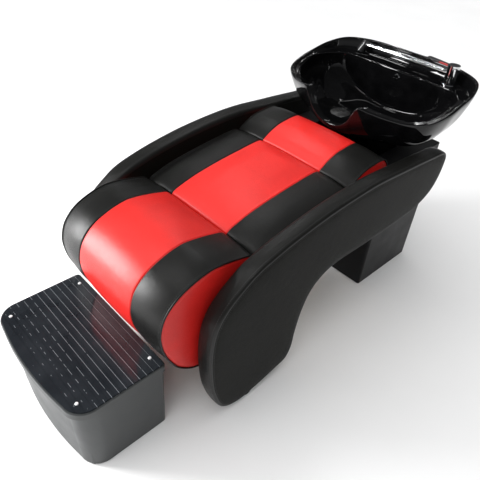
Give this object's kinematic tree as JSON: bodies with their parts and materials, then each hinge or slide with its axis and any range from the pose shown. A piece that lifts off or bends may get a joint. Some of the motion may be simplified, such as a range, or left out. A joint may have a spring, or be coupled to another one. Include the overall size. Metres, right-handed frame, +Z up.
{
  "type": "hair washing bed",
  "caption": "Salon hair washing bed: tilting ceramic basin with mixer tap and hand spray on a pedestal, cushioned lounge seat between curved arms, and a separate footstool.",
  "frame": {"origin": "on the floor, under the middle of the whole bed with its footstool pushed in", "axes": "+Y from the footstool towards the basin, +Z up, +X towards the tap's side"},
  "size_m": [0.7, 1.75, 0.8683],
  "materials": {
    "laminate": "board faced with black satin laminate",
    "frame_steel": "black powder coated steel",
    "plywood": "plain birch plywood",
    "red_leather": "smooth red upholstery leather, satin",
    "black_leather": "black upholstery leather, soft gloss",
    "black_ceramic": "black glazed ceramic, high gloss",
    "chrome": "polished chrome",
    "stainless": "stainless steel",
    "brass": "plain brass",
    "black_plastic": "black moulded plastic",
    "grey_plastic": "grey moulded plastic",
    "stool_plastic": "mid grey satin moulded plastic",
    "mat_rubber": "dark slate rubber tread",
    "black_rubber": "black rubber"
  },
  "bodies": {
    "bed": {"pedestal_sides": "laminate", "pedestal_front": "laminate", "pedestal_back": "laminate", "pedestal_top": "laminate", "pedestal_blocks": "plywood", "access_panel": "laminate", "access_panel_screws": "stainless", "pedestal_glides": "grey_plastic", "seat_frame": "frame_steel", "calf_board": "plywood", "seat_board": "plywood", "head_board": "plywood", "head_board_risers": "plywood", "calf_roll": "red_leather", "seat_cushion": "red_leather", "head_cushion": "red_leather", "right_arm_board": "plywood", "right_arm": "black_leather", "left_arm_board": "plywood", "left_arm": "black_leather", "right_front_foot": "chrome", "left_front_foot": "chrome", "front_foot_pads": "black_rubber", "arm_bolts": "stainless", "pedestal_bolts": "stainless", "pedestal_spacers": "black_plastic", "pedestal_top_plate": "frame_steel", "basin_hinge_pin": "stainless", "tilt_stops": "black_rubber", "top_plate_bolts": "stainless"},
    "basin": {"basin_bowl": "black_ceramic", "basin_carrier": "frame_steel", "basin_bed_pads": "black_rubber", "overflow_cover": "chrome", "waste_outlet": "chrome", "waste_seal": "black_rubber", "waste_nut": "brass", "tap_body": "chrome", "tap_washer": "black_rubber", "tap_nut": "brass", "tap_inlets": "stainless"},
    "strainer": {"hair_strainer": "grey_plastic"},
    "swivel_spout": {"spout": "chrome", "spout_bush": "black_plastic"},
    "hand_spray": {"spray_handle": "chrome", "spray_head": "black_plastic", "spray_face": "grey_plastic"},
    "cap": {"tap_cap": "chrome", "lever_pin": "stainless"},
    "lever": {"tap_lever": "chrome"},
    "footstool": {"footstool_shell": "stool_plastic", "footstool_mat": "mat_rubber", "footstool_screws": "stainless", "footstool_feet": "black_rubber"}
  },
  "joints": [
    {"name": "basin_tilt", "type": "hinge", "parent": "bed", "child": "basin", "pos_m": [0, 0.715, 0.593], "axis": [-1, 0, 0], "range_deg": [0, 12]},
    {"name": "strainer_lift", "type": "slide", "parent": "basin", "child": "strainer", "axis": [0, 0, 1], "range_m": [0, 0.08]},
    {"name": "spout_swivel", "type": "hinge", "parent": "basin", "child": "swivel_spout", "pos_m": [0.201, 0.808, 0.834], "axis": [0, 0, 1], "range_deg": [0, 45]},
    {"name": "spray_pull", "type": "slide", "parent": "swivel_spout", "child": "hand_spray", "axis": [-1, 0, 0], "range_m": [0, 0.016]},
    {"name": "tap_turn", "type": "hinge", "parent": "basin", "child": "cap", "pos_m": [0.201, 0.808, 0.857], "axis": [0, 0, 1], "range_deg": [-45, 45]},
    {"name": "tap_lift", "type": "hinge", "parent": "cap", "child": "lever", "pos_m": [0.207, 0.808, 0.8591], "axis": [0, 1, 0], "range_deg": [0, 20]},
    {"name": "footstool_pull", "type": "slide", "parent": "bed", "child": "footstool", "axis": [0, -1, 0], "range_m": [0, 0.3]}
  ]
}
